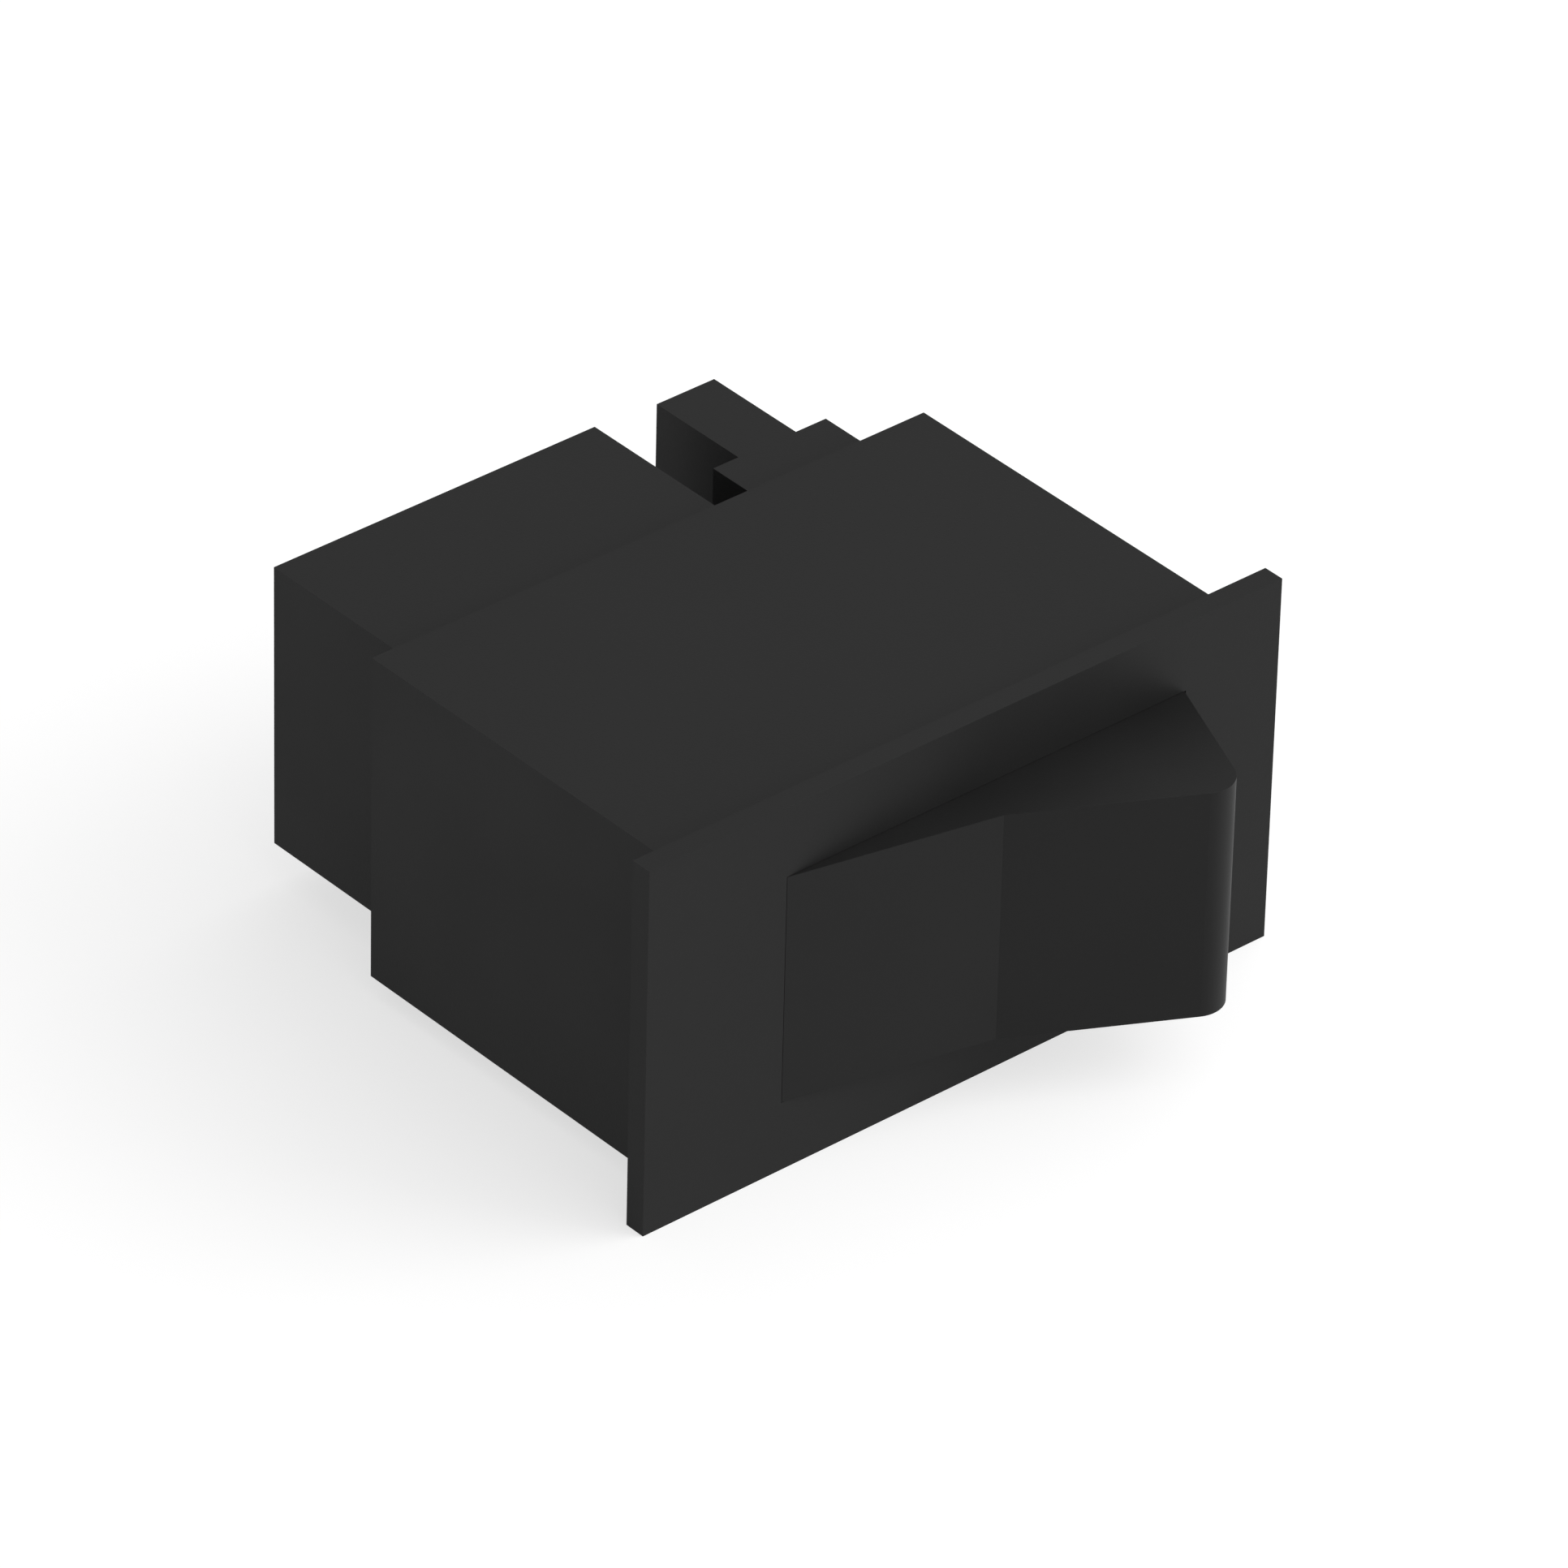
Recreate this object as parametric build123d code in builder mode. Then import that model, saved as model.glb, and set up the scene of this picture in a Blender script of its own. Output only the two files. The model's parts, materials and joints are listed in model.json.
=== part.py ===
"""Two-pole panel rocker switch with a socket for its plug at the back.

The origin is the middle of the bezel's rear face, where the panel's front
face lies. X runs along the bezel, Y goes back through the panel and Z is up.
The rocker is drawn off: its right end stands out and its left end lies flush.
"""

import os
from math import cos, hypot, radians, sin, sqrt, tan

from build123d import *

os.makedirs("parts", exist_ok=True)

# Bezel and body shell
bezel_length = 49.2
bezel_height = 25.9
bezel_thickness = 1.5
body_length = 43.2
body_height = 22.9
body_depth = 27.5
shell_wall = 1.6
rim_wall = 1.0
ledge_depth = 0.4

# Rocker, measured from its pivot
pivot_x = 1.66
pivot_depth = -0.16
proud_half_length = 14.57
sunk_half_length = 14.25
rocker_half_height = 8.02
crease_height = 4.7
dish_angle = 7.95
end_flare = 1.64
throw_angle = 20.3
skirt_depth = 7.5
proud_tip_radius = 2.0
rocker_wall = 1.4
rocker_side_wall = 1.1
rib_offset = 8.2
rib_thickness = 1.0
rib_depth = 2.4
rocker_gap = 0.04

# Pivot pin and the keyhole grooves that it snaps into
pin_radius = 0.8
pin_fit = 0.04
seat_fit = 0.02
groove_depth = 0.95
groove_width = 2.0
neck_width = 1.35
neck_length = 1.5
pin_end_gap = 0.05
pin_bevel = 0.2

# Stem, plungers and springs, one plunger for each pole
pole_offset = 3.8
stem_width = 5.8
stem_wall = 1.1
plunger_radius = 1.65
plunger_fit = 0.06
plunger_length = 14.6
plunger_exposed = 7.45
plunger_clearance = 0.36
plunger_bore_radius = 1.2
plunger_bore_depth = 8.6
plunger_travel = 1.2
spring_radius = 0.92
spring_wire = 0.36
spring_turns = 5
spring_room = 1.0
wire_sides = 6

# Contact arm, rocking on a ridge between the ears of its saddle
arm_thickness = 0.7
arm_width = 4.2
arm_angle = 6.09
cradle_slope = 45.0
cradle_height = 5.6
left_wing = 5.4
right_wing = 3.2
bend_radius = 0.8
ridge_radius = 0.8
ridge_gap = 0.05
tip_gap = 0.08
saddle_thickness = 0.5
saddle_length = 3.8
ear_height = 3.2
ear_gap = 0.15

# Silver contacts
contact_radius = 1.5
contact_thickness = 0.8
contact_reach = 3.3
contact_gap = 0.05
contact_bevel = 0.2
rivet_radius = 0.75
rivet_head_radius = 1.1
rivet_head = 0.3

# Blade terminals, one row for each pole
terminal_thickness = 0.8
blade_width = 6.35
blade_offset = 5.6
blade_recess = 1.5
blade_corner = 1.2
blade_hole_radius = 0.8
blade_hole_setback = 3.2
blade_fit = 0.05
pad_reach = 4.3
load_blade_x = -12.4
common_blade_x = 0.6

# Terminal base with its socket block and T-shaped lug
base_thickness = 3.5
base_fit = 0.05
block_left = -18.6
block_right = 6.4
block_height = 20.0
block_depth = 13.0
block_wall = 1.5
socket_depth = 12.0
key_x = -5.9
key_width = 1.4
key_height = 1.2
lug_x = 13.5
lug_foot_length = 9.0
lug_foot_depth = 4.9
lug_neck_x = 13.3
lug_neck_length = 4.6
lug_depth = 12.6
barrier_thickness = 1.6
barrier_left = -16.0
barrier_right = 15.0
barrier_height = 9.0
post_margin = 0.4
post_height = 7.6
stop_length = 2.4
stop_gap = 0.1

# Places that follow from the sizes
inner_half_length = body_length / 2 - shell_wall
inner_half_height = body_height / 2 - shell_wall
base_front = body_depth - base_thickness
blade_end = body_depth + block_depth - blade_recess

throw = radians(throw_angle)
dish = tan(radians(dish_angle))
flare = tan(radians(end_flare))

# The sunk tip lies in the bezel's face, and its skirt reaches as far out
sunk_tip_height = crease_height + sunk_half_length * dish
sunk_reach = sunk_half_length * cos(throw) + sunk_tip_height * sin(throw)

# The proud end's skirt begins where its end wall comes out of the bezel's face
proud_foot = proud_half_length + (crease_height + proud_half_length * dish) * flare
face_height = bezel_thickness + pivot_depth
emergence = (proud_foot * sin(throw) - face_height) / (cos(throw) - flare * sin(throw))
proud_reach = hypot(proud_foot + emergence * flare, emergence)

swing = radians(arm_angle)
ridge_depth = base_front - terminal_thickness - saddle_thickness
cradle_floor = ridge_radius + ridge_gap + arm_thickness / 2

# At mid-throw the plunger's nose stands just clear of the cradle's floor
plunger_reach = ridge_depth - pivot_depth - cradle_floor - arm_thickness / 2 - plunger_clearance
stem_length = plunger_reach - plunger_exposed

# The plunger's round nose, as the arm sees it when both are fully over
nose_height = plunger_reach - plunger_radius
nose_x = nose_height * sin(throw)
nose_depth = pivot_depth + nose_height * cos(throw) - ridge_depth
nose_along = nose_x * cos(swing) + nose_depth * sin(swing)
nose_above = nose_x * sin(swing) - nose_depth * cos(swing)

# The cradle's sloping side passes the nose at a set gap
slope = radians(cradle_slope)
side_distance = plunger_radius + tip_gap + arm_thickness / 2
side_x = nose_along + side_distance * sin(slope)
side_height = nose_above - side_distance * cos(slope)
cradle_half_floor = side_x - (side_height - cradle_floor) / tan(slope)
cradle_half_width = side_x + (cradle_height - side_height) / tan(slope)

# Depth of a wing's rear face, and its root beside the pivot, once it is down
wing_depth = ridge_depth + cradle_half_width * sin(swing) - cradle_height * cos(swing)
wing_rear = wing_depth + arm_thickness / 2
wing_root = cradle_half_width * cos(swing) + cradle_height * sin(swing)
fixed_contact_x = pivot_x - wing_root - contact_reach
fixed_contact_front = wing_rear + contact_thickness + contact_gap
load_pad_front = fixed_contact_front + contact_thickness
common_pad_front = base_front - terminal_thickness
bend_relief = bend_radius - terminal_thickness / 2 + blade_fit
columns = ((load_blade_x, load_pad_front), (common_blade_x, common_pad_front))

# Planes: the rocker and the arm have turned planes through their pivots
rocker_plane = Plane(
    origin=(pivot_x, pivot_depth, 0),
    x_dir=(cos(throw), -sin(throw), 0),
    z_dir=(0, 0, 1),
)
stem_end = Plane(
    origin=rocker_plane.from_local_coords((0, stem_length, 0)),
    x_dir=(0, 0, 1),
    z_dir=rocker_plane.y_dir,
)
arm_plane = Plane(
    origin=(pivot_x, ridge_depth, 0),
    x_dir=(cos(swing), sin(swing), 0),
    z_dir=(0, 0, 1),
)
wing_plane = Plane(
    origin=arm_plane.from_local_coords((-cradle_half_width, -cradle_height, 0)),
    x_dir=(cos(2 * swing), sin(2 * swing), 0),
    z_dir=(0, 0, 1),
)


def across(depth):
    """Plane parallel to the panel, facing forward, this deep behind its face."""
    return Plane.XZ.offset(-depth)


def rocker_profile(inset, depth):
    """Dished top, flared ends and skirts that follow arcs about the pivot."""
    crease = crease_height - inset
    spread = 1 + flare**2
    ends = ((1, proud_half_length, proud_reach), (-1, sunk_half_length, sunk_reach))
    with BuildSketch(rocker_plane) as profile:
        for side, half_length, reach in ends:
            length = half_length - inset
            radius = reach - inset
            height = crease + length * dish
            foot = length + height * flare
            arc_y = (sqrt(spread * radius**2 - foot**2) - foot * flare) / spread
            arc_x = foot + arc_y * flare
            skirt_x = sqrt(radius**2 - depth**2)
            middle = Vector(side * (arc_x + skirt_x), arc_y + depth).normalized() * radius
            with BuildLine():
                Polyline(
                    (0, depth),
                    (0, -crease),
                    (side * length, -height),
                    (side * arc_x, arc_y),
                )
                ThreePointArc((side * arc_x, arc_y), middle, (side * skirt_x, depth))
                Line((side * skirt_x, depth), (0, depth))
            make_face()
    return profile.sketch


# Bezel and body shell, moulded in one and open at the back
with BuildPart() as bezel_housing:
    with BuildSketch(across(0)):
        Rectangle(bezel_length, bezel_height)
    extrude(amount=bezel_thickness)
    with BuildSketch(across(0)):
        Rectangle(body_length, body_height)
    extrude(amount=-body_depth)
    with BuildSketch(across(body_depth)):
        Rectangle(2 * inner_half_length, 2 * inner_half_height)
    extrude(amount=body_depth - ledge_depth, mode=Mode.SUBTRACT)
    with BuildSketch(across(body_depth)):
        Rectangle(body_length - 2 * rim_wall, body_height - 2 * rim_wall)
    extrude(amount=base_thickness, mode=Mode.SUBTRACT)
    with BuildSketch(across(ledge_depth)):
        with Locations((pivot_x + (proud_reach - sunk_reach) / 2, 0)):
            Rectangle(
                proud_reach + sunk_reach + 2 * rocker_gap,
                2 * (rocker_half_height + rocker_gap),
            )
    extrude(amount=bezel_thickness + ledge_depth, mode=Mode.SUBTRACT)
    # Keyhole grooves: a wide run-in from the back, a neck and a round seat
    with BuildSketch(Plane.XY):
        with Locations((pivot_x, pivot_depth)):
            Circle(pin_radius + seat_fit)
            Rectangle(neck_width, neck_length, align=(Align.CENTER, Align.MIN))
        with Locations((pivot_x, pivot_depth + neck_length)):
            Rectangle(groove_width, body_depth, align=(Align.CENTER, Align.MIN))
    extrude(amount=inner_half_height + groove_depth, both=True, mode=Mode.SUBTRACT)

bezel_housing.part.label = "bezel_housing"
export_step(bezel_housing.part, "parts/bezel_housing.step")

# Rocker, a hollow cap with ribs and the stem that carries the plungers
with BuildPart() as rocker:
    extrude(rocker_profile(0, skirt_depth), amount=rocker_half_height, both=True)
    fillet(rocker.edges().filter_by(Axis.Z).sort_by(Axis.Y)[0], radius=proud_tip_radius)
    extrude(
        rocker_profile(rocker_wall, skirt_depth + rocker_wall),
        amount=rocker_half_height - rocker_side_wall,
        both=True,
        mode=Mode.SUBTRACT,
    )
    with BuildSketch(rocker_plane):
        with Locations((0, -crease_height + rocker_wall / 2)):
            Rectangle(stem_width, crease_height + stem_length - rocker_wall / 2,
                      align=(Align.CENTER, Align.MIN))
    extrude(amount=pole_offset + plunger_radius + plunger_fit + stem_wall, both=True)
    with BuildSketch(rocker_plane):
        with Locations((-rib_offset, -crease_height + rocker_wall / 2),
                       (rib_offset, -crease_height + rocker_wall / 2)):
            Rectangle(rib_thickness, rib_depth, align=(Align.CENTER, Align.MIN))
    extrude(amount=rocker_half_height - rocker_side_wall, both=True)
    with BuildSketch(rocker_plane):
        Circle(pin_radius + pin_fit)
    extrude(amount=rocker_half_height, both=True, mode=Mode.SUBTRACT)
    with Locations(stem_end):
        with Locations((pole_offset, 0), (-pole_offset, 0)):
            Hole(
                radius=plunger_radius + plunger_fit,
                depth=stem_length - plunger_reach + plunger_length + plunger_travel + spring_room,
            )

rocker.part.label = "rocker"
export_step(rocker.part, "parts/rocker.step")

# Steel pivot pin
with BuildPart() as pivot_pin:
    with BuildSketch(Plane.XY):
        with Locations((pivot_x, pivot_depth)):
            Circle(pin_radius)
    extrude(amount=inner_half_height + groove_depth - pin_end_gap, both=True)
    chamfer(pivot_pin.edges().filter_by(GeomType.CIRCLE), length=pin_bevel)

pivot_pin.part.label = "pivot_pin"
export_step(pivot_pin.part, "parts/pivot_pin.step")

# Terminal base: rear cover, socket block, T-shaped lug, barrier and posts
with BuildPart() as terminal_base:
    with BuildSketch(across(body_depth)):
        Rectangle(body_length - 2 * (rim_wall + base_fit), body_height - 2 * (rim_wall + base_fit))
    extrude(amount=base_thickness)
    # Tongues that fill the mouths of the pin's grooves
    with BuildSketch(across(body_depth)):
        with Locations((pivot_x, 0)):
            Rectangle(groove_width - 2 * base_fit, 2 * (inner_half_height + groove_depth - base_fit))
    extrude(amount=base_thickness)
    with BuildSketch(across(body_depth)):
        with Locations(((block_left + block_right) / 2, 0)):
            Rectangle(block_right - block_left, block_height)
    extrude(amount=-block_depth)
    with BuildSketch(across(body_depth + block_depth)):
        with Locations(((block_left + block_right) / 2, 0)):
            Rectangle(block_right - block_left - 2 * block_wall, block_height - 2 * block_wall)
    extrude(amount=socket_depth, mode=Mode.SUBTRACT)
    # Coding rib inside the socket, between the two columns of blades
    with BuildSketch(across(body_depth + block_depth)):
        with Locations((key_x, block_height / 2 - block_wall)):
            Rectangle(key_width, key_height, align=(Align.CENTER, Align.MAX))
    extrude(amount=socket_depth)
    with BuildSketch(Plane.XY):
        with Locations((lug_x, body_depth)):
            Rectangle(lug_foot_length, lug_foot_depth, align=(Align.CENTER, Align.MIN))
        with Locations((lug_neck_x, body_depth)):
            Rectangle(lug_neck_length, lug_depth, align=(Align.CENTER, Align.MIN))
    extrude(amount=block_height / 2, both=True)
    # Barrier between the poles, then the posts that carry pads and stop arms
    with BuildSketch(across(base_front)):
        with Locations(((barrier_left + barrier_right) / 2, 0)):
            Rectangle(barrier_right - barrier_left, barrier_thickness)
    extrude(amount=barrier_height)
    with BuildSketch(across(base_front)):
        with Locations((load_blade_x, 0)):
            Rectangle(blade_width + 2 * post_margin, 2 * post_height)
    extrude(amount=base_front - load_pad_front - terminal_thickness)
    with BuildSketch(across(base_front)):
        with Locations((pivot_x + wing_root + bend_radius, 0)):
            Rectangle(stop_length, 2 * (pole_offset + arm_width / 2), align=(Align.MIN, Align.CENTER))
    extrude(amount=base_front - wing_rear - stop_gap)
    # Slots for the four blades, each relieved where its pad is folded over
    for column_x, pad_front in columns:
        with BuildSketch(across(pad_front)):
            with Locations((column_x, blade_offset), (column_x, -blade_offset)):
                Rectangle(blade_width + 2 * blade_fit, terminal_thickness + 2 * blade_fit)
        extrude(amount=-(blade_end - pad_front), mode=Mode.SUBTRACT)
        with BuildSketch(across(pad_front)):
            with Locations((column_x, blade_offset), (column_x, -blade_offset)):
                Rectangle(blade_width + 2 * blade_fit, terminal_thickness + 2 * bend_relief)
        extrude(amount=-(terminal_thickness + bend_relief), mode=Mode.SUBTRACT)

terminal_base.part.label = "terminal_base"
export_step(terminal_base.part, "parts/terminal_base.step")

# The works of each pole, the lower ones mirrored about the middle
for pole, side in (("upper", 1), ("lower", -1)):
    pole_z = side * pole_offset
    plunger_axis = Axis(rocker_plane.from_local_coords((0, 0, pole_z)), rocker_plane.y_dir)
    plunger_back = plunger_reach - plunger_length

    with BuildPart() as plunger:
        with BuildSketch(rocker_plane.offset(pole_z)):
            with BuildLine():
                Line((0, plunger_reach), (0, plunger_back))
                Line((0, plunger_back), (plunger_radius, plunger_back))
                Line((plunger_radius, plunger_back), (plunger_radius, nose_height))
                CenterArc((0, nose_height), plunger_radius, 0, 90)
            make_face()
            with Locations((0, plunger_back)):
                Rectangle(plunger_bore_radius, plunger_bore_depth,
                          align=(Align.MIN, Align.MIN), mode=Mode.SUBTRACT)
        revolve(axis=plunger_axis)

    plunger.part.label = f"plunger_{pole}"
    export_step(plunger.part, f"parts/plunger_{pole}.step")

    # Spring from the bottom of the stem's bore to the bottom of the plunger's
    spring_back = plunger_back - plunger_travel - spring_room
    spring_length = plunger_back + plunger_bore_depth - spring_back
    coil_height = spring_length - spring_wire
    with BuildPart() as spring:
        with BuildLine():
            coil = Helix(
                pitch=coil_height / spring_turns,
                height=coil_height,
                radius=spring_radius,
                center=rocker_plane.from_local_coords((0, spring_back + spring_wire / 2, pole_z)),
                direction=rocker_plane.y_dir,
            )
        with BuildSketch(Plane(origin=coil @ 0, z_dir=coil % 0)):
            RegularPolygon(radius=spring_wire / 2, side_count=wire_sides)
        sweep(path=coil, is_frenet=True)

    spring.part.label = f"spring_{pole}"
    export_step(spring.part, f"parts/spring_{pole}.step")

    # Arm of folded strip: two wings and a cradle that the plunger pushes over
    contact_axis = Axis(wing_plane.from_local_coords((-contact_reach, 0, pole_z)), wing_plane.y_dir)
    wing_drop = tan(swing)
    with BuildPart() as contact_arm:
        with BuildSketch(arm_plane.offset(pole_z)):
            with BuildLine():
                FilletPolyline(
                    (-cradle_half_width - left_wing, -cradle_height - left_wing * wing_drop),
                    (-cradle_half_width, -cradle_height),
                    (-cradle_half_floor, -cradle_floor),
                    (cradle_half_floor, -cradle_floor),
                    (cradle_half_width, -cradle_height),
                    (cradle_half_width + right_wing, -cradle_height - right_wing * wing_drop),
                    radius=bend_radius,
                )
            trace(line_width=arm_thickness)
        extrude(amount=arm_width / 2, both=True)
        with Locations(Plane(origin=contact_axis.position, z_dir=contact_axis.direction)):
            Hole(radius=rivet_radius)

    contact_arm.part.label = f"contact_arm_{pole}"
    export_step(contact_arm.part, f"parts/contact_arm_{pole}.step")

    # Contact riveted through the arm's left wing
    with BuildPart() as arm_contact:
        with BuildSketch(wing_plane.offset(pole_z)):
            with Locations((-contact_reach, arm_thickness / 2)):
                Rectangle(contact_radius, contact_thickness, align=(Align.MIN, Align.MIN))
            with Locations((-contact_reach, -arm_thickness / 2)):
                Rectangle(rivet_radius, arm_thickness, align=(Align.MIN, Align.MIN))
                Rectangle(rivet_head_radius, rivet_head, align=(Align.MIN, Align.MAX))
        revolve(axis=contact_axis)
        chamfer(
            arm_contact.faces().filter_by(GeomType.PLANE).sort_by(contact_axis)[-1].edges(),
            length=contact_bevel,
        )

    arm_contact.part.label = f"arm_contact_{pole}"
    export_step(arm_contact.part, f"parts/arm_contact_{pole}.step")

    # Blade that carries the fixed contact, its pad folded inward
    with BuildPart() as load_terminal:
        with BuildSketch(Plane.YZ.offset(load_blade_x)):
            with BuildLine():
                FilletPolyline(
                    (load_pad_front + terminal_thickness / 2, side * (blade_offset - pad_reach)),
                    (load_pad_front + terminal_thickness / 2, side * blade_offset),
                    (blade_end, side * blade_offset),
                    radius=bend_radius,
                )
            trace(line_width=terminal_thickness)
        extrude(amount=blade_width / 2, both=True)
        blade_tip = load_terminal.faces().sort_by(Axis.Y)[-1]
        chamfer(blade_tip.edges().filter_by(Axis.Z), length=blade_corner)
        with Locations((load_blade_x, blade_end - blade_hole_setback, side * blade_offset)):
            Hole(radius=blade_hole_radius)
        with BuildSketch(across(load_pad_front)):
            with Locations((fixed_contact_x, pole_z)):
                Circle(rivet_radius)
        extrude(amount=-terminal_thickness, mode=Mode.SUBTRACT)

    load_terminal.part.label = f"load_terminal_{pole}"
    export_step(load_terminal.part, f"parts/load_terminal_{pole}.step")

    # Contact staked flush through the load terminal's pad
    with BuildPart() as fixed_contact:
        with BuildSketch(across(load_pad_front)):
            with Locations((fixed_contact_x, pole_z)):
                Circle(contact_radius)
        extrude(amount=contact_thickness)
        chamfer(fixed_contact.faces().sort_by(Axis.Y)[0].edges(), length=contact_bevel)
        with BuildSketch(across(load_pad_front)):
            with Locations((fixed_contact_x, pole_z)):
                Circle(rivet_radius)
        extrude(amount=-terminal_thickness)

    fixed_contact.part.label = f"fixed_contact_{pole}"
    export_step(fixed_contact.part, f"parts/fixed_contact_{pole}.step")

    # Blade whose pad lies on the base under the saddle
    with BuildPart() as common_terminal:
        with BuildSketch(Plane.YZ.offset(common_blade_x)):
            with BuildLine():
                FilletPolyline(
                    (base_front - terminal_thickness / 2, side * (blade_offset - pad_reach)),
                    (base_front - terminal_thickness / 2, side * blade_offset),
                    (blade_end, side * blade_offset),
                    radius=bend_radius,
                )
            trace(line_width=terminal_thickness)
        extrude(amount=blade_width / 2, both=True)
        blade_tip = common_terminal.faces().sort_by(Axis.Y)[-1]
        chamfer(blade_tip.edges().filter_by(Axis.Z), length=blade_corner)
        with Locations((common_blade_x, blade_end - blade_hole_setback, side * blade_offset)):
            Hole(radius=blade_hole_radius)

    common_terminal.part.label = f"common_terminal_{pole}"
    export_step(common_terminal.part, f"parts/common_terminal_{pole}.step")

    # Saddle with two ears and the ridge that the arm rocks on
    ear_middle = arm_width / 2 + ear_gap + saddle_thickness / 2
    floor_middle = ridge_depth + saddle_thickness / 2
    with BuildPart() as arm_saddle:
        with BuildSketch(Plane.YZ.offset(pivot_x)):
            with BuildLine():
                FilletPolyline(
                    (ridge_depth - ear_height, pole_z - ear_middle),
                    (floor_middle, pole_z - ear_middle),
                    (floor_middle, pole_z + ear_middle),
                    (ridge_depth - ear_height, pole_z + ear_middle),
                    radius=saddle_thickness,
                )
            trace(line_width=saddle_thickness)
        extrude(amount=saddle_length / 2, both=True)
        with BuildSketch(Plane.XY.offset(pole_z)):
            with BuildLine():
                CenterArc((pivot_x, ridge_depth), ridge_radius, 180, 180)
                Line((pivot_x - ridge_radius, ridge_depth), (pivot_x + ridge_radius, ridge_depth))
            make_face()
        extrude(amount=arm_width / 2, both=True)

    arm_saddle.part.label = f"arm_saddle_{pole}"
    export_step(arm_saddle.part, f"parts/arm_saddle_{pole}.step")
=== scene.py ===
"""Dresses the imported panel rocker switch: moulded black plastic outside, metal works inside.

Laid out as an add-on and run as a script: each operator finishes one group of
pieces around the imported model, and the main function calls them in order.
"""

import json
from functools import partial
from math import cos, pi, radians, sin

import bpy
from mathutils import Matrix, Vector


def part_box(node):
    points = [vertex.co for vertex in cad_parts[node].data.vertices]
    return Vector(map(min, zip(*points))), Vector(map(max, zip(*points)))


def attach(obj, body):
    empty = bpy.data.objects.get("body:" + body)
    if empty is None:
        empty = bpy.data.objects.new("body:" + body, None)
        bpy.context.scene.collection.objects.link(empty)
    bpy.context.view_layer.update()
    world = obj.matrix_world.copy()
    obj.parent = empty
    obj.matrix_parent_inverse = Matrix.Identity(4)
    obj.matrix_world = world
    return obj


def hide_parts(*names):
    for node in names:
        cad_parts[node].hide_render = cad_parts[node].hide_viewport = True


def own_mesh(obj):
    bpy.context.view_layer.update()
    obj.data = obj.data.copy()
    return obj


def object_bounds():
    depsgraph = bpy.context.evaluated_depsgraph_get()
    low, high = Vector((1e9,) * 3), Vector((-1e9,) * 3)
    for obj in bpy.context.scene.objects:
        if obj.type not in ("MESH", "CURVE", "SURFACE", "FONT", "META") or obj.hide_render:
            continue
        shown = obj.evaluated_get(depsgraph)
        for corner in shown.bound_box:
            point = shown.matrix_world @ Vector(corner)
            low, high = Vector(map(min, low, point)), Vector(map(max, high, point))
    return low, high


bl_info = {
    "name": "Panel Rocker Switch",
    "version": (1, 0, 0),
    "blender": (4, 5, 0),
    "location": "3D View > Sidebar > Switch",
    "description": "Finishes a panel rocker switch and sets its studio stage",
    "category": "Object",
}

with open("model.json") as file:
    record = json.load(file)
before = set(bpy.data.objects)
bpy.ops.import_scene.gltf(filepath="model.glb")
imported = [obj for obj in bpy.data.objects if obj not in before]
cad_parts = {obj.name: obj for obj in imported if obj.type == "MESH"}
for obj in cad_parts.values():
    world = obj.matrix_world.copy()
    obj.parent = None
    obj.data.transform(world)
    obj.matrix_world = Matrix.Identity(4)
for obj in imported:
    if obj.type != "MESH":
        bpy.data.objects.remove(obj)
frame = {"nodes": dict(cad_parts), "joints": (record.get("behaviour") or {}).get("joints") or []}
CAD_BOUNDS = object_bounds()
NODES = frame["nodes"]
JOINTS = {joint["name"]: joint for joint in frame["joints"]}
POLES = ("upper", "lower")

BEZEL_LOW, BEZEL_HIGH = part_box("bezel_housing")
BEZEL_LENGTH = BEZEL_HIGH.x - BEZEL_LOW.x

# Colour of the sky and of the white that the floor shows to the camera
WHITE = (1.0, 1.0, 1.0, 1.0)

# Range that holds nearly all of a noise texture's values
NOISE_LOW = 0.3
NOISE_HIGH = 0.7

# Black plastic: patches per metre, the share of colour and the roughness that
# they add or take away, and the index of refraction
PLASTIC_CLOUD = 90.0
PLASTIC_TINT = 0.1
PLASTIC_SPREAD = 0.025
PLASTIC_IOR = 1.46

# Acetal: patches and grains per metre, and the share of light that scatters
# inside it, with its reach in metres for red, green and blue
ACETAL_CLOUD = 400.0
ACETAL_GRAIN = 9000.0
ACETAL_DARK = (0.78, 0.77, 0.72)
ACETAL_LIGHT = (0.86, 0.85, 0.80)
ACETAL_ROUGHNESS = (0.26, 0.34)
ACETAL_SCATTER = 0.1
ACETAL_SCATTER_REACH = (0.0006, 0.0005, 0.0004)

# Metal: marks and film patches per metre, and the roughness that marks add or
# take away
METAL_MARKS = 6000.0
METAL_FILM = 350.0
METAL_SPREAD = 0.07

# Height in metres of the fine grain of acetal and the marks on metal
FINE_RELIEF = 0.000002

# Springs: points along the wire, its sides, and the turns that lie flat at each end
SPRING_POINTS = 241
WIRE_SIDES = 12
FLAT_TURNS = 0.8

# Floor: reach in bezel lengths, patches per metre and the share of colour that
# they take away
FLOOR_REACH = 60.0
FLOOR_CLOUD = 3.0
FLOOR_TINT = 0.01
FLOOR_ROUGHNESS = 0.9

# Large soft light: place and width in metres
KEY_PLACE = Vector((0.805, -0.676, 0.676))
KEY_WIDTH = 0.8

# Camera: sensor in millimetres and the end of its sight in metres
SENSOR_WIDTH = 36.0
SIGHT_END = 100.0


# Settings that a user would change


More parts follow.
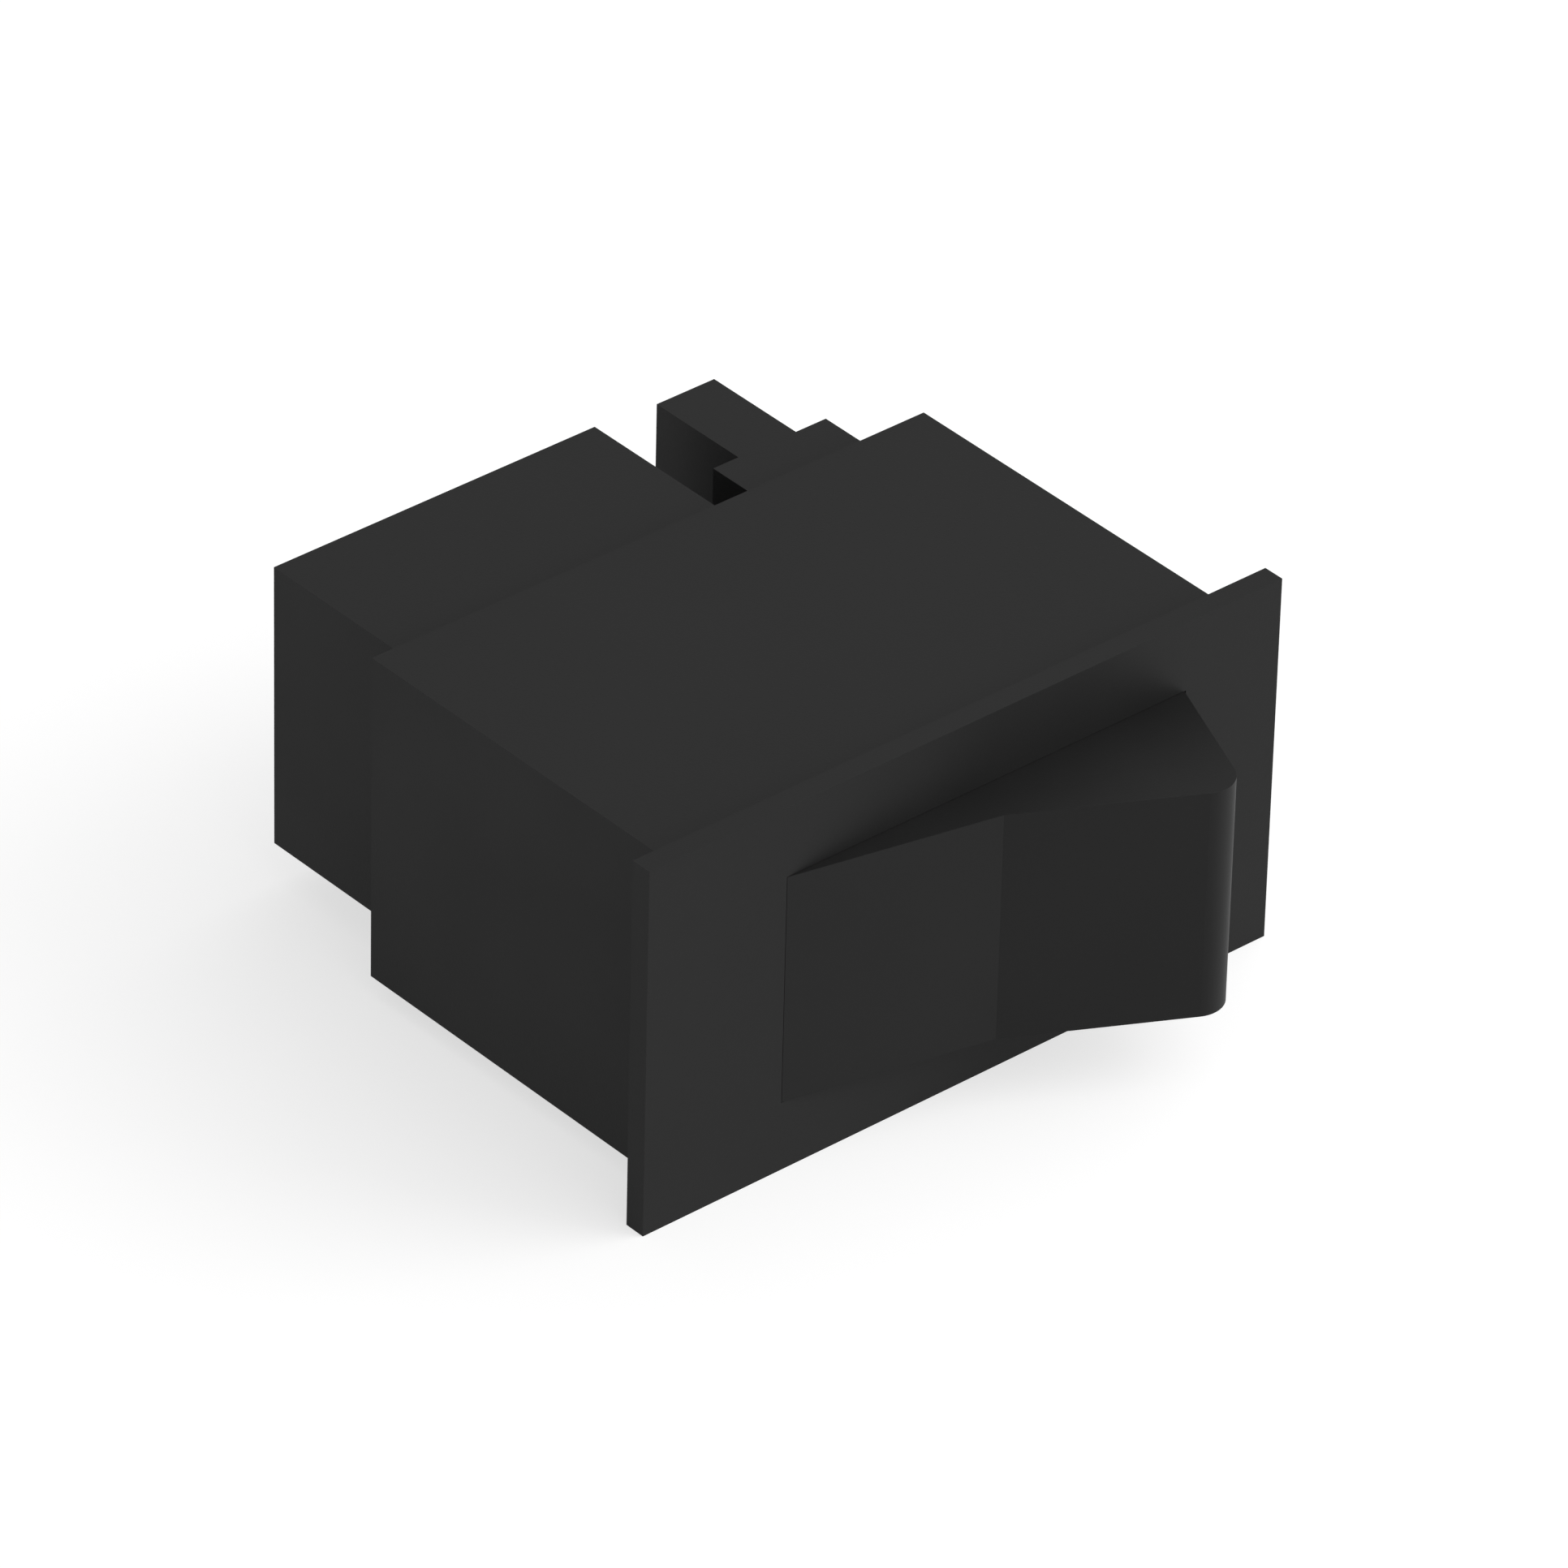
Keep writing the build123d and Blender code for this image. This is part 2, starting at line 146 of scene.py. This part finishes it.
class PlasticSettings(bpy.types.PropertyGroup):
    """Looks of the black mouldings."""

    shell_color: bpy.props.FloatVectorProperty(
        name="Shell Colour",
        description="Colour of the bezel, body and terminal base",
        subtype="COLOR",
        size=3,
        min=0.0,
        max=1.0,
        default=(0.0145, 0.0145, 0.0145),
    )
    rocker_color: bpy.props.FloatVectorProperty(
        name="Rocker Colour",
        description="Colour of the rocker",
        subtype="COLOR",
        size=3,
        min=0.0,
        max=1.0,
        default=(0.0158, 0.0158, 0.0158),
    )
    roughness: bpy.props.FloatProperty(
        name="Roughness",
        description="Middle roughness of the moulded surface",
        subtype="FACTOR",
        min=0.0,
        max=1.0,
        default=0.54,
    )
    sheen: bpy.props.FloatProperty(
        name="Sheen",
        description="Strength of the reflection that a straight view gives",
        subtype="FACTOR",
        min=0.0,
        max=1.0,
        default=0.155,
    )
    grain: bpy.props.FloatProperty(
        name="Grain",
        description="Width of one grain of the mould's spark-eroded texture",
        unit="LENGTH",
        min=0.00002,
        max=0.001,
        default=0.00012,
        precision=6,
    )
    relief: bpy.props.FloatProperty(
        name="Relief",
        description="Height of the mould's texture",
        unit="LENGTH",
        min=0.0,
        max=0.0001,
        default=0.000004,
        precision=7,
    )


class SpringSettings(bpy.types.PropertyGroup):
    """Sizes of the two plunger springs."""

    turns: bpy.props.IntProperty(
        name="Turns",
        description="Number of turns in each spring",
        min=2,
        max=20,
        default=5,
    )
    wire: bpy.props.FloatProperty(
        name="Wire",
        description="Diameter of the spring wire",
        unit="LENGTH",
        min=0.0001,
        max=0.001,
        default=0.00034,
        precision=5,
    )


class StageSettings(bpy.types.PropertyGroup):
    """Camera, floor and lights."""

    azimuth: bpy.props.FloatProperty(
        name="Azimuth",
        description="Heading of the camera round the switch",
        unit="ROTATION",
        default=radians(-41.36),
    )
    elevation: bpy.props.FloatProperty(
        name="Elevation",
        description="Height of the camera above the horizon",
        unit="ROTATION",
        default=radians(34.09),
    )
    roll: bpy.props.FloatProperty(
        name="Roll",
        description="Turn of the camera about its own view",
        unit="ROTATION",
        default=radians(1.45),
    )
    lens: bpy.props.FloatProperty(
        name="Lens",
        description="Focal length of the camera in millimetres",
        min=10.0,
        max=1000.0,
        default=296.74,
    )
    position: bpy.props.FloatVectorProperty(
        name="Position",
        description="Place of the camera in bezel lengths",
        size=3,
        default=(-8.6002, -9.4648, 8.8071),
    )
    sky: bpy.props.FloatProperty(
        name="Sky",
        description="Strength of the even light from all sides",
        min=0.0,
        max=5.0,
        default=0.82,
    )
    slant: bpy.props.FloatVectorProperty(
        name="Slant",
        description="How much brighter the sky gets towards each axis",
        size=3,
        default=(0.85, -0.62, -0.1),
    )
    fill: bpy.props.FloatProperty(
        name="Fill",
        description="Strength that the sky keeps where the slant would darken it further",
        min=0.0,
        max=1.0,
        default=0.12,
    )
    key: bpy.props.FloatProperty(
        name="Key Light",
        description="Power of the large soft light above, to the right and in front",
        unit="POWER",
        min=0.0,
        max=100.0,
        default=4.2,
    )
    floor_color: bpy.props.FloatVectorProperty(
        name="Floor Colour",
        description="Colour of the plain floor under the lights",
        subtype="COLOR",
        size=3,
        min=0.0,
        max=1.0,
        default=(0.45, 0.45, 0.45),
    )
    backdrop: bpy.props.FloatProperty(
        name="Backdrop",
        description="White that the camera and reflections see on the floor besides its lit colour",
        subtype="FACTOR",
        min=0.0,
        max=1.0,
        default=0.66,
    )


# Node helpers


def new_material(name):
    """An empty node material with its shader joined to the output."""
    material = bpy.data.materials.new(name)
    material.use_nodes = True
    nodes = material.node_tree.nodes
    nodes.clear()
    output = nodes.new("ShaderNodeOutputMaterial")
    shader = nodes.new("ShaderNodeBsdfPrincipled")
    material.node_tree.links.new(shader.outputs["BSDF"], output.inputs["Surface"])
    return material, nodes, material.node_tree.links, shader


def noise(nodes, links, vector, scale, detail=2.0, roughness=0.5):
    """A noise texture on the given coordinates."""
    texture = nodes.new("ShaderNodeTexNoise")
    texture.inputs["Scale"].default_value = scale
    texture.inputs["Detail"].default_value = detail
    texture.inputs["Roughness"].default_value = roughness
    links.new(vector, texture.inputs["Vector"])
    return texture.outputs["Fac"]


def spread(nodes, links, value, low, high):
    """Maps a noise value, which stays near the middle, onto a range."""
    remap = nodes.new("ShaderNodeMapRange")
    remap.inputs["From Min"].default_value = NOISE_LOW
    remap.inputs["From Max"].default_value = NOISE_HIGH
    remap.inputs["To Min"].default_value = low
    remap.inputs["To Max"].default_value = high
    links.new(value, remap.inputs["Value"])
    return remap.outputs["Result"]


def calculate(nodes, links, operation, first, second=0.0):
    """Result of a Math node, whose inputs are numbers or other nodes' outputs."""
    node = nodes.new("ShaderNodeMath")
    node.operation = operation
    for socket, value in zip(node.inputs, (first, second)):
        if isinstance(value, float):
            socket.default_value = value
        else:
            links.new(value, socket)
    return node.outputs["Value"]


def shade(color, share):
    """The colour with each channel multiplied by a share."""
    return [share * channel for channel in color]


def tint(nodes, links, value, dark, light):
    """A colour between two tints, picked by a value."""
    mix = nodes.new("ShaderNodeMix")
    mix.data_type = "RGBA"
    links.new(value, mix.inputs["Factor"])
    mix.inputs["A"].default_value = (*dark, 1.0)
    mix.inputs["B"].default_value = (*light, 1.0)
    return mix.outputs["Result"]


def relief(nodes, links, shader, height, distance):
    """Bumps the shader's surface by a height that is measured in metres."""
    bump = nodes.new("ShaderNodeBump")
    bump.inputs["Distance"].default_value = distance
    links.new(height, bump.inputs["Height"])
    links.new(bump.outputs["Normal"], shader.inputs["Normal"])


# Materials


def moulded_plastic(name, color, settings):
    """Black plastic from a spark-eroded mould: fine even grain, uneven sheen."""
    material, nodes, links, shader = new_material(name)
    place = nodes.new("ShaderNodeTexCoord").outputs["Object"]
    cloud = noise(nodes, links, place, PLASTIC_CLOUD, detail=3.0)
    grain = noise(nodes, links, place, 1.0 / settings.grain, detail=1.0)
    dark = shade(color, 1.0 - PLASTIC_TINT)
    light = shade(color, 1.0 + PLASTIC_TINT)
    mottle = tint(nodes, links, spread(nodes, links, cloud, 0.0, 1.0), dark, light)
    smooth = settings.roughness - PLASTIC_SPREAD
    rough = settings.roughness + PLASTIC_SPREAD
    links.new(mottle, shader.inputs["Base Color"])
    links.new(spread(nodes, links, cloud, smooth, rough), shader.inputs["Roughness"])
    shader.inputs["IOR"].default_value = PLASTIC_IOR
    shader.inputs["Specular IOR Level"].default_value = settings.sheen
    relief(nodes, links, shader, grain, settings.relief)
    return material


def acetal(name):
    """Milky white acetal, slightly waxy."""
    material, nodes, links, shader = new_material(name)
    place = nodes.new("ShaderNodeTexCoord").outputs["Object"]
    cloud = noise(nodes, links, place, ACETAL_CLOUD)
    grain = noise(nodes, links, place, ACETAL_GRAIN)
    links.new(tint(nodes, links, cloud, ACETAL_DARK, ACETAL_LIGHT), shader.inputs["Base Color"])
    links.new(spread(nodes, links, cloud, *ACETAL_ROUGHNESS), shader.inputs["Roughness"])
    shader.inputs["Subsurface Weight"].default_value = ACETAL_SCATTER
    shader.inputs["Subsurface Radius"].default_value = ACETAL_SCATTER_REACH
    relief(nodes, links, shader, grain, FINE_RELIEF)
    return material


def drawn_metal(name, dark, light, roughness, scale=(1.0, 1.0, 1.0)):
    """Metal with a mottled film and fine marks, long on an axis whose scale is small."""
    material, nodes, links, shader = new_material(name)
    place = nodes.new("ShaderNodeTexCoord").outputs["Object"]
    mapping = nodes.new("ShaderNodeMapping")
    mapping.inputs["Scale"].default_value = scale
    links.new(place, mapping.inputs["Vector"])
    marks = noise(nodes, links, mapping.outputs["Vector"], METAL_MARKS, detail=3.0, roughness=0.6)
    film = noise(nodes, links, place, METAL_FILM, detail=4.0, roughness=0.6)
    mottle = tint(nodes, links, spread(nodes, links, film, 0.0, 1.0), dark, light)
    ground = spread(nodes, links, marks, roughness - METAL_SPREAD, roughness + METAL_SPREAD)
    links.new(mottle, shader.inputs["Base Color"])
    links.new(ground, shader.inputs["Roughness"])
    shader.inputs["Metallic"].default_value = 1.0
    relief(nodes, links, shader, marks, FINE_RELIEF)
    return material


def finish_nodes(material, names):
    """Gives the material to CAD nodes whose shape already is right."""
    for name in names:
        mesh = NODES[name].data
        mesh.materials.clear()
        mesh.materials.append(material)


def both_poles(*kinds):
    """Names of the upper and lower piece of each kind."""
    return [f"{kind}_{pole}" for kind in kinds for pole in POLES]


# Springs, grown along a straight line by a node tree


def spring_tree(material):
    """Tree that winds round wire about Z, with its end turns laid flat."""
    tree = bpy.data.node_groups.new("wound_spring", "GeometryNodeTree")
    for label in ("Length", "Radius", "Wire", "Turns"):
        tree.interface.new_socket(label, in_out="INPUT", socket_type="NodeSocketFloat")
    tree.interface.new_socket("Geometry", in_out="OUTPUT", socket_type="NodeSocketGeometry")
    nodes, links = tree.nodes, tree.links
    inputs = nodes.new("NodeGroupInput").outputs
    math = partial(calculate, nodes, links)

    line = nodes.new("GeometryNodeCurvePrimitiveLine")
    evenly = nodes.new("GeometryNodeResampleCurve")
    evenly.inputs["Count"].default_value = SPRING_POINTS
    links.new(line.outputs["Curve"], evenly.inputs["Curve"])
    along = nodes.new("GeometryNodeSplineParameter").outputs["Factor"]

    angle = math("MULTIPLY", math("MULTIPLY", along, inputs["Turns"]), 2.0 * pi)
    half_wire = math("MULTIPLY", inputs["Wire"], 0.5)
    flat = math("DIVIDE", FLAT_TURNS, inputs["Turns"])
    rise = nodes.new("ShaderNodeMapRange")
    links.new(along, rise.inputs["Value"])
    links.new(flat, rise.inputs["From Min"])
    links.new(math("SUBTRACT", 1.0, flat), rise.inputs["From Max"])
    links.new(half_wire, rise.inputs["To Min"])
    links.new(math("SUBTRACT", inputs["Length"], half_wire), rise.inputs["To Max"])

    place = nodes.new("ShaderNodeCombineXYZ")
    for axis, wave in (("X", "COSINE"), ("Y", "SINE")):
        links.new(math("MULTIPLY", inputs["Radius"], math(wave, angle)), place.inputs[axis])
    links.new(rise.outputs["Result"], place.inputs["Z"])
    wind = nodes.new("GeometryNodeSetPosition")
    links.new(evenly.outputs["Curve"], wind.inputs["Geometry"])
    links.new(place.outputs["Vector"], wind.inputs["Position"])

    section = nodes.new("GeometryNodeCurvePrimitiveCircle")
    section.inputs["Resolution"].default_value = WIRE_SIDES
    links.new(half_wire, section.inputs["Radius"])
    wire = nodes.new("GeometryNodeCurveToMesh")
    wire.inputs["Fill Caps"].default_value = True
    links.new(wind.outputs["Geometry"], wire.inputs["Curve"])
    links.new(section.outputs["Curve"], wire.inputs["Profile Curve"])
    smooth = nodes.new("GeometryNodeSetShadeSmooth")
    links.new(wire.outputs["Mesh"], smooth.inputs["Geometry"])
    real = nodes.new("GeometryNodeRealizeInstances")
    links.new(smooth.outputs["Geometry"], real.inputs["Geometry"])
    paint = nodes.new("GeometryNodeSetMaterial")
    paint.inputs["Material"].default_value = material
    links.new(real.outputs["Geometry"], paint.inputs["Geometry"])
    links.new(paint.outputs["Geometry"], nodes.new("NodeGroupOutput").inputs["Geometry"])
    return tree


def grow(name, tree, values, place):
    """Plain mesh object of a tree's result, with its place put into the mesh."""
    carrier = bpy.data.objects.new(f"{name}_carrier", bpy.data.meshes.new(f"{name}_carrier"))
    bpy.context.scene.collection.objects.link(carrier)
    modifier = carrier.modifiers.new("grow", "NODES")
    modifier.node_group = tree
    for item in tree.interface.items_tree:
        if item.item_type == "SOCKET" and item.in_out == "INPUT":
            modifier[item.identifier] = values[item.name]
    bpy.context.view_layer.update()
    shape = carrier.evaluated_get(bpy.context.evaluated_depsgraph_get())
    mesh = bpy.data.meshes.new_from_object(shape)
    carrier.modifiers.remove(modifier)
    bpy.data.objects.remove(carrier)
    mesh.name = name
    mesh.transform(place)
    piece = bpy.data.objects.new(name, mesh)
    bpy.context.scene.collection.objects.link(piece)
    return piece


# Operators


class SWITCH_OT_stage(bpy.types.Operator):
    """Set the camera, the floor and the soft lights"""

    bl_idname = "switch.stage"
    bl_label = "Stage"

    def execute(self, context):
        stage = context.scene.switch_stage
        self.camera(context, stage)
        self.floor(context, stage)
        self.sky(context, stage)
        self.key_light(context, stage)
        context.scene.view_settings.view_transform = "Standard"
        return {"FINISHED"}

    def camera(self, context, stage):
        """Long lens at the photograph's angle, nearly without perspective."""
        azimuth, elevation, roll = stage.azimuth, stage.elevation, stage.roll
        back = Vector((sin(azimuth) * cos(elevation), -cos(azimuth) * cos(elevation), sin(elevation)))
        level = Vector((cos(azimuth), sin(azimuth), 0.0))
        right = cos(roll) * level + sin(roll) * back.cross(level)
        up = back.cross(right)
        turn = Matrix((right, up, back)).transposed().to_4x4()
        data = bpy.data.cameras.new("camera")
        data.sensor_width = SENSOR_WIDTH
        data.lens = stage.lens
        data.clip_end = SIGHT_END
        camera = bpy.data.objects.new("camera", data)
        camera.matrix_world = Matrix.Translation(BEZEL_LENGTH * Vector(stage.position)) @ turn
        context.scene.collection.objects.link(camera)
        context.scene.camera = camera

    def floor(self, context, stage):
        """Plain pale floor under the bezel's lower edge."""
        reach = FLOOR_REACH * BEZEL_LENGTH
        height = CAD_BOUNDS[0].z
        corners = [(x * reach, y * reach, height) for x, y in ((-1, -1), (1, -1), (1, 1), (-1, 1))]
        mesh = bpy.data.meshes.new("floor")
        mesh.from_pydata(corners, [], [(0, 1, 2, 3)])
        mesh.materials.append(self.floor_paint(stage))
        floor = bpy.data.objects.new("floor", mesh)
        context.scene.collection.objects.link(floor)

    def floor_paint(self, stage):
        """Matt paint with a white share that only the camera and reflections see."""
        material, nodes, links, shader = new_material("floor_paint")
        place = nodes.new("ShaderNodeTexCoord").outputs["Object"]
        cloud = noise(nodes, links, place, FLOOR_CLOUD)
        dark = shade(stage.floor_color, 1.0 - FLOOR_TINT)
        links.new(tint(nodes, links, cloud, dark, stage.floor_color), shader.inputs["Base Color"])
        shader.inputs["Roughness"].default_value = FLOOR_ROUGHNESS
        shader.inputs["Specular IOR Level"].default_value = 0.0
        shader.inputs["Emission Color"].default_value = WHITE
        rays = nodes.new("ShaderNodeLightPath").outputs
        seen = rays["Is Camera Ray"]
        for ray in ("Is Glossy Ray", "Is Transmission Ray"):
            seen = calculate(nodes, links, "MAXIMUM", seen, rays[ray])
        glow = calculate(nodes, links, "MULTIPLY", seen, stage.backdrop)
        links.new(glow, shader.inputs["Emission Strength"])
        return material

    def sky(self, context, stage):
        """White light from all sides that changes evenly along the slant, down to the fill."""
        world = bpy.data.worlds.new("sky")
        context.scene.world = world
        world.use_nodes = True
        nodes, links = world.node_tree.nodes, world.node_tree.links
        background = nodes["Background"]
        background.inputs["Color"].default_value = WHITE
        slope = nodes.new("ShaderNodeVectorMath")
        slope.operation = "DOT_PRODUCT"
        slope.inputs[1].default_value = stage.slant
        links.new(nodes.new("ShaderNodeTexCoord").outputs["Generated"], slope.inputs[0])
        total = calculate(nodes, links, "ADD", slope.outputs["Value"], stage.sky)
        lit = calculate(nodes, links, "MAXIMUM", total, stage.fill)
        links.new(lit, background.inputs["Strength"])

    def key_light(self, context, stage):
        """Large soft square light that points at the switch."""
        data = bpy.data.lights.new("key_light", "AREA")
        data.energy = stage.key
        data.size = KEY_WIDTH
        lamp = bpy.data.objects.new("key_light", data)
        lamp.location = KEY_PLACE
        lamp.rotation_euler = KEY_PLACE.to_track_quat("Z", "Y").to_euler()
        context.scene.collection.objects.link(lamp)


class SWITCH_OT_shell(bpy.types.Operator):
    """Finish the bezel with its body and the terminal base"""

    bl_idname = "switch.shell"
    bl_label = "Shell"

    def execute(self, context):
        plastic = context.scene.switch_plastic
        black = moulded_plastic("shell_plastic", plastic.shell_color, plastic)
        finish_nodes(black, ["bezel_housing", "terminal_base"])
        return {"FINISHED"}


class SWITCH_OT_rocker(bpy.types.Operator):
    """Finish the rocker"""

    bl_idname = "switch.rocker"
    bl_label = "Rocker"

    def execute(self, context):
        plastic = context.scene.switch_plastic
        black = moulded_plastic("rocker_plastic", plastic.rocker_color, plastic)
        finish_nodes(black, ["rocker"])
        return {"FINISHED"}


class SWITCH_OT_pivot(bpy.types.Operator):
    """Finish the pivot pin and the plungers"""

    bl_idname = "switch.pivot"
    bl_label = "Pivot and Plungers"

    def execute(self, context):
        steel = drawn_metal(
            "pin_steel",
            dark=(0.50, 0.50, 0.51),
            light=(0.60, 0.60, 0.61),
            roughness=0.25,
            scale=(1.0, 1.0, 0.05),
        )
        finish_nodes(steel, ["pivot_pin"])
        finish_nodes(acetal("plunger_plastic"), both_poles("plunger"))
        return {"FINISHED"}


class SWITCH_OT_springs(bpy.types.Operator):
    """Wind the plunger springs from round wire"""

    bl_idname = "switch.springs"
    bl_label = "Springs"

    def execute(self, context):
        steel = drawn_metal(
            "spring_steel",
            dark=(0.46, 0.46, 0.47),
            light=(0.56, 0.56, 0.57),
            roughness=0.3,
        )
        tree = spring_tree(steel)
        for pole in POLES:
            self.wind(context.scene.switch_spring, tree, pole)
        return {"FINISHED"}

    def wind(self, settings, tree, pole):
        """Puts a wound spring where one pole's plain one stands and hangs it on the rocker."""
        node = f"spring_{pole}"
        joint = JOINTS[f"plunger_{pole}_slide"]
        axis = -Vector(joint["axis"])
        corners = [Vector(corner) for corner in NODES[node].bound_box]
        middle = sum(corners, Vector()) / len(corners)
        offsets = [vertex.co - middle for vertex in NODES[node].data.vertices]
        if not offsets:
            raise RuntimeError(f"the node {node} has no vertices")
        along = [offset.dot(axis) for offset in offsets]
        across = [(offset - axis * reach).length for offset, reach in zip(offsets, along)]
        foot = middle + axis * min(along)
        length = max(along) - min(along)
        place = Matrix.Translation(foot) @ axis.to_track_quat("Z", "Y").to_matrix().to_4x4()
        values = {
            "Length": length,
            "Radius": max(across) - settings.wire / 2,
            "Wire": settings.wire,
            "Turns": float(settings.turns),
        }
        spring = grow(f"wound_spring_{pole}", tree, values, place)
        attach(spring, "rocker")
        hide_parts(node)
        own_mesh(spring)


class SWITCH_OT_contacts(bpy.types.Operator):
    """Finish the contact arms, their saddles and the silver contacts"""

    bl_idname = "switch.contacts"
    bl_label = "Contacts"

    def execute(self, context):
        copper = drawn_metal(
            "arm_copper",
            dark=(0.62, 0.33, 0.20),
            light=(0.78, 0.46, 0.30),
            roughness=0.28,
            scale=(0.1, 1.0, 1.0),
        )
        brass = drawn_metal(
            "saddle_brass",
            dark=(0.62, 0.47, 0.22),
            light=(0.74, 0.59, 0.30),
            roughness=0.3,
            scale=(1.0, 0.1, 1.0),
        )
        silver = drawn_metal(
            "contact_silver",
            dark=(0.78, 0.78, 0.76),
            light=(0.88, 0.88, 0.86),
            roughness=0.22,
        )
        finish_nodes(copper, both_poles("contact_arm"))
        finish_nodes(brass, both_poles("arm_saddle"))
        finish_nodes(silver, both_poles("arm_contact", "fixed_contact"))
        return {"FINISHED"}


class SWITCH_OT_terminals(bpy.types.Operator):
    """Finish the tinned blade terminals"""

    bl_idname = "switch.terminals"
    bl_label = "Terminals"

    def execute(self, context):
        tinned = drawn_metal(
            "terminal_brass",
            dark=(0.66, 0.65, 0.60),
            light=(0.80, 0.79, 0.74),
            roughness=0.32,
            scale=(1.0, 0.08, 1.0),
        )
        finish_nodes(tinned, both_poles("load_terminal", "common_terminal"))
        return {"FINISHED"}


# Sidebar and registration


class SWITCH_PT_sidebar(bpy.types.Panel):
    """Lists the steps that finish the switch."""

    bl_idname = "SWITCH_PT_sidebar"
    bl_label = "Panel Rocker Switch"
    bl_space_type = "VIEW_3D"
    bl_region_type = "UI"
    bl_category = "Switch"

    def draw(self, context):
        """Shows the settings of each group, then a button for each step."""
        for name, group in GROUPS.items():
            box = self.layout.box()
            for setting in group.__annotations__:
                box.prop(getattr(context.scene, name), setting)
        for operator in OPERATORS:
            self.layout.operator(operator.bl_idname)


GROUPS = {
    "switch_stage": StageSettings,
    "switch_plastic": PlasticSettings,
    "switch_spring": SpringSettings,
}
OPERATORS = (
    SWITCH_OT_stage,
    SWITCH_OT_shell,
    SWITCH_OT_rocker,
    SWITCH_OT_pivot,
    SWITCH_OT_springs,
    SWITCH_OT_contacts,
    SWITCH_OT_terminals,
)


def register():
    """Adds the settings to the scene and registers the steps and the panel."""
    for name, group in GROUPS.items():
        bpy.utils.register_class(group)
        setattr(bpy.types.Scene, name, bpy.props.PointerProperty(type=group))
    for kind in (*OPERATORS, SWITCH_PT_sidebar):
        bpy.utils.register_class(kind)


def unregister():
    """Takes the panel, the steps and the settings away again."""
    for kind in reversed((*OPERATORS, SWITCH_PT_sidebar)):
        bpy.utils.unregister_class(kind)
    for name, group in GROUPS.items():
        delattr(bpy.types.Scene, name)
        bpy.utils.unregister_class(group)


def main():
    """Finishes the switch step by step."""
    register()
    bpy.ops.switch.stage()
    bpy.ops.switch.shell()
    bpy.ops.switch.rocker()
    bpy.ops.switch.pivot()
    bpy.ops.switch.springs()
    bpy.ops.switch.contacts()
    bpy.ops.switch.terminals()


if __name__ == "__main__":
    main()
